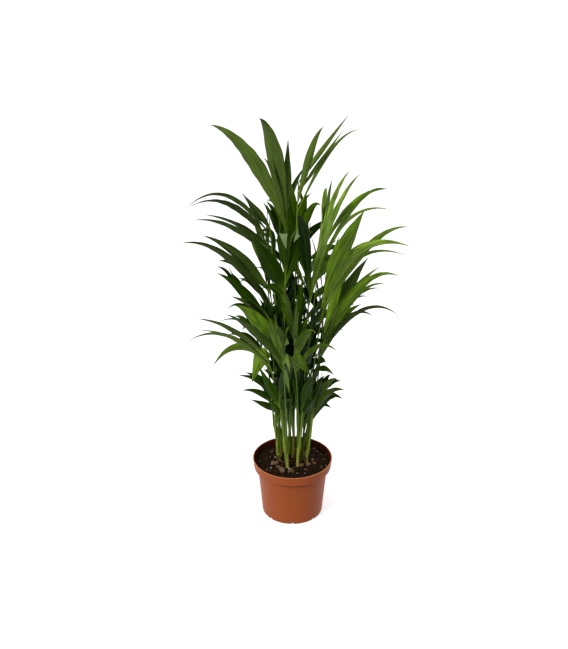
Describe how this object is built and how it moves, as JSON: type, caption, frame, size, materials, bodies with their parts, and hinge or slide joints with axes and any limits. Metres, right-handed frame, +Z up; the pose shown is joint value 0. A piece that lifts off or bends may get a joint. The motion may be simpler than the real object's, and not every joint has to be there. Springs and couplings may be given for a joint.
{
  "type": "potted areca palm",
  "caption": "Potted areca palm: a clump of slim pale green stems with arching feathered fronds, in a round terracotta-coloured plastic pot filled with soil.",
  "frame": {"origin": "middle of the pot's flat underside", "axes": "+Z up along the pot's axis, +X to the right and +Y to the back as the picture shows the plant"},
  "size_m": [0.4346, 0.3983, 0.8819],
  "materials": {
    "pot_plastic": "satin moulded polypropylene",
    "soil": "moist peat soil",
    "stem": "smooth green stem",
    "leaf_dark": "satin dark green leaf",
    "leaf_mid": "satin green leaf",
    "leaf_lit": "satin light green leaf",
    "leaf_bright": "satin bright green leaf"
  },
  "bodies": {
    "root": {"pot": "pot_plastic", "soil": "soil", "stem_a": "stem", "stem_b": "stem", "stem_c": "stem", "stem_d": "stem", "stem_e": "stem", "stem_f": "stem", "stem_g": "stem", "stem_h": "stem", "stem_i": "stem", "stem_j": "stem", "stem_k": "stem", "stem_l": "stem", "stem_m": "stem", "stem_n": "stem", "frond_top_left": "leaf_dark", "frond_top_right": "leaf_mid", "frond_upper_left": "leaf_dark", "frond_middle_left": "leaf_dark", "frond_inner_left": "leaf_mid", "frond_front_left": "leaf_lit", "frond_lower_left": "leaf_bright", "frond_low_left": "leaf_dark", "frond_centre": "leaf_dark", "frond_upper_right": "leaf_bright", "frond_outer_right": "leaf_lit", "frond_middle_right": "leaf_bright", "frond_lower_right": "leaf_lit", "frond_arching_right": "leaf_dark", "frond_low_right": "leaf_dark", "frond_front_centre": "leaf_mid", "frond_top_centre": "leaf_dark", "frond_front_inner_left": "leaf_dark", "frond_front_inner_right": "leaf_dark", "frond_front_middle": "leaf_dark", "frond_side_left_upper": "leaf_dark", "frond_side_right_upper": "leaf_lit", "frond_side_left": "leaf_mid", "frond_side_right": "leaf_mid", "frond_back_top_left": "leaf_dark", "frond_back_top_right": "leaf_mid", "frond_back_top_outer": "leaf_dark", "frond_back_right_upper": "leaf_mid", "frond_back_right_middle": "leaf_lit", "frond_back_middle": "leaf_dark", "frond_back_left_upper": "leaf_mid", "frond_back_left_outer": "leaf_dark", "frond_back_right_outer": "leaf_lit", "frond_back_lower": "leaf_mid", "frond_back_lower_right": "leaf_lit", "frond_back_lower_left": "leaf_mid", "frond_back_low": "leaf_dark", "frond_side_low_right": "leaf_dark", "frond_side_low_left": "leaf_dark", "frond_front_side_left": "leaf_mid", "frond_front_side_right": "leaf_mid", "frond_inner_middle": "leaf_dark", "frond_inner_back": "leaf_dark", "frond_inner_right": "leaf_dark"}
  },
  "joints": []
}
